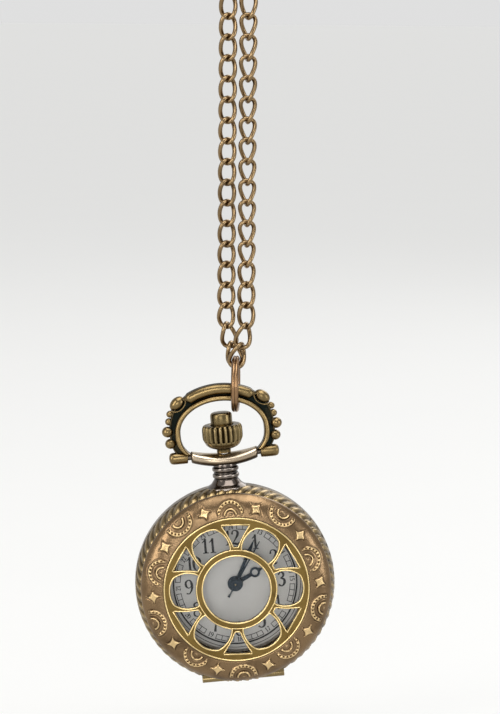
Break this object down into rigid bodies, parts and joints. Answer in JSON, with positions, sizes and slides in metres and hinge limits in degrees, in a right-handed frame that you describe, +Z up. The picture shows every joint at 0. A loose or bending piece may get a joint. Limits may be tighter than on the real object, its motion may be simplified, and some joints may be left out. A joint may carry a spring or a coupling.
{
  "type": "pendant watch",
  "caption": "Pendant watch with a hinged openwork flower cover over its dial, hung by a bow and a jump ring from a curb chain.",
  "frame": {"origin": "the hook point inside the chain's top loop, where a nail or a finger holds it", "axes": "+Z up along the hanging chain, the dial and its cover face -Y, +X to the viewer's right"},
  "size_m": [0.0267, 0.0098, 0.1001],
  "materials": {
    "chain_brass": "antique brass, satin",
    "ring_brass": "antique brass, polished",
    "bow_bronze": "olive bronze with dark patina",
    "pin_steel": "drawn",
    "case_bronze": "brown bronze, satin",
    "back_bronze": "brown bronze, satin",
    "bezel_bronze": "brown bronze, polished",
    "crystal_glass": "clear",
    "dial_silver": "silver grey, matte",
    "neck_nickel": "dark nickel over brass",
    "bar_champagne": "pale champagne, satin",
    "hinge_bronze": "brown bronze, satin",
    "border_bronze": "brown-pink bronze, embossed",
    "flower_gold": "olive gold, satin",
    "catch_steel": "drawn",
    "crown_bronze": "olive bronze with dark patina",
    "stem_steel": "turned",
    "button_bronze": "olive bronze, satin",
    "hand_blue": "blue-black, gloss",
    "wheel_brass": "turned",
    "rotor_magnet": "ground",
    "holder_plastic": "white, matte",
    "plate_brass": "brushed",
    "bridge_steel": "brushed",
    "board_plastic": "green, matte",
    "quartz_steel": "drawn",
    "coil_copper": "enamelled wire",
    "stator_steel": "stamped",
    "battery_steel": "polished"
  },
  "bodies": {
    "chain": {"chain_top_links": "chain_brass", "chain_strand_left": "chain_brass", "chain_strand_right": "chain_brass"},
    "ring": {"jump_ring": "ring_brass"},
    "bow_loop": {"bow": "bow_bronze", "bow_pins": "pin_steel"},
    "case": {"case_middle": "case_bronze", "back_cover": "back_bronze", "bezel_ring": "bezel_bronze", "crystal": "crystal_glass", "dial": "dial_silver", "pendant_neck": "neck_nickel", "pendant_bar": "bar_champagne", "case_knuckles": "hinge_bronze", "hinge_pin": "pin_steel", "movement_holder": "holder_plastic", "main_plate": "plate_brass", "train_bridge": "bridge_steel", "circuit_board": "board_plastic", "quartz_can": "quartz_steel", "coil": "coil_copper", "stator": "stator_steel", "battery": "battery_steel", "battery_strap": "bridge_steel"},
    "cover": {"cover_rim": "border_bronze", "flower_grille": "flower_gold", "cover_knuckle": "hinge_bronze"},
    "catch": {"cover_catch": "catch_steel"},
    "setting": {"setting_lever": "catch_steel"},
    "crown_body": {"crown": "crown_bronze", "winding_stem": "stem_steel"},
    "button_body": {"release_button": "button_bronze", "push_rod": "stem_steel"},
    "hour_body": {"hour_hand": "hand_blue", "hour_wheel": "wheel_brass"},
    "minute_body": {"minute_hand": "hand_blue", "cannon_pinion": "wheel_brass"},
    "second_body": {"second_hand": "hand_blue", "second_wheel": "wheel_brass"},
    "minute_work": {"minute_wheel": "wheel_brass"},
    "centre_body": {"centre_wheel": "wheel_brass"},
    "third_body": {"third_wheel": "wheel_brass"},
    "fifth_body": {"fifth_wheel": "wheel_brass"},
    "rotor_body": {"rotor": "rotor_magnet"}
  },
  "joints": [
    {"name": "ring_swing", "type": "hinge", "parent": "chain", "child": "ring", "pos_m": [0, 0, -0.05476], "axis": [0, 1, 0], "range_deg": [-30, 30]},
    {"name": "bow_rock", "type": "hinge", "parent": "ring", "child": "bow_loop", "pos_m": [0, 0, -0.06142], "axis": [0, 1, 0], "range_deg": [-20, 20]},
    {"name": "case_swing", "type": "hinge", "parent": "bow_loop", "child": "case", "pos_m": [-0.00147, 0, -0.06764], "axis": [0.996, 0, 0.0889], "range_deg": [-85, 85]},
    {"name": "cover_hinge", "type": "hinge", "parent": "case", "child": "cover", "pos_m": [0.00118, -0.00272, -0.0974], "axis": [0.996, 0, 0.0889], "range_deg": [0, 100]},
    {"name": "catch_release", "type": "slide", "parent": "case", "child": "catch", "axis": [0.0889, 0, -0.996], "range_m": [0, 0.00045]},
    {"name": "stem_pull", "type": "slide", "parent": "case", "child": "setting", "axis": [-0.0889, 0, 0.996], "range_m": [0, 0.0008]},
    {"name": "crown_turn", "type": "hinge", "parent": "setting", "child": "crown_body", "pos_m": [-0.0015, 0, -0.06735], "axis": [-0.0889, 0, 0.996], "continuous": true},
    {"name": "button_press", "type": "slide", "parent": "crown_body", "child": "button_body", "axis": [0.0889, 0, -0.996], "range_m": [0, 0.00045], "stiffness_N_per_m": 1200, "springref_m": -0.0004},
    {"name": "minute_turn", "type": "hinge", "parent": "case", "child": "minute_body", "pos_m": [0.00008, 0, -0.08505], "axis": [0, 1, 0], "continuous": true},
    {"name": "hour_turn", "type": "hinge", "parent": "case", "child": "hour_body", "pos_m": [0.00008, 0, -0.08505], "axis": [0, 1, 0], "continuous": true},
    {"name": "minute_wheel_turn", "type": "hinge", "parent": "case", "child": "minute_work", "pos_m": [0.00027, 0, -0.08724], "axis": [0, 1, 0], "continuous": true},
    {"name": "second_turn", "type": "hinge", "parent": "case", "child": "second_body", "pos_m": [0.00008, 0, -0.08505], "axis": [0, 1, 0], "continuous": true},
    {"name": "third_wheel_turn", "type": "hinge", "parent": "case", "child": "third_body", "pos_m": [-0.00122, 0, -0.08397], "axis": [0, 1, 0], "continuous": true},
    {"name": "centre_wheel_turn", "type": "hinge", "parent": "case", "child": "centre_body", "pos_m": [0.00008, 0, -0.08505], "axis": [0, 1, 0], "continuous": true},
    {"name": "fifth_wheel_turn", "type": "hinge", "parent": "case", "child": "fifth_body", "pos_m": [0.00135, 0, -0.08611], "axis": [0, 1, 0], "continuous": true},
    {"name": "rotor_turn", "type": "hinge", "parent": "case", "child": "rotor_body", "pos_m": [0.00242, 0, -0.087], "axis": [0, 1, 0], "continuous": true}
  ],
  "couplings": [
    {"joint": "catch_release", "follows": "button_press", "ratio": 1},
    {"joint": "hour_turn", "follows": "minute_turn", "ratio": 0.083333},
    {"joint": "minute_wheel_turn", "follows": "minute_turn", "ratio": -0.33333},
    {"joint": "third_wheel_turn", "follows": "second_turn", "ratio": -0.13333},
    {"joint": "centre_wheel_turn", "follows": "second_turn", "ratio": 0.016667},
    {"joint": "fifth_wheel_turn", "follows": "second_turn", "ratio": -6},
    {"joint": "rotor_turn", "follows": "second_turn", "ratio": 30}
  ]
}
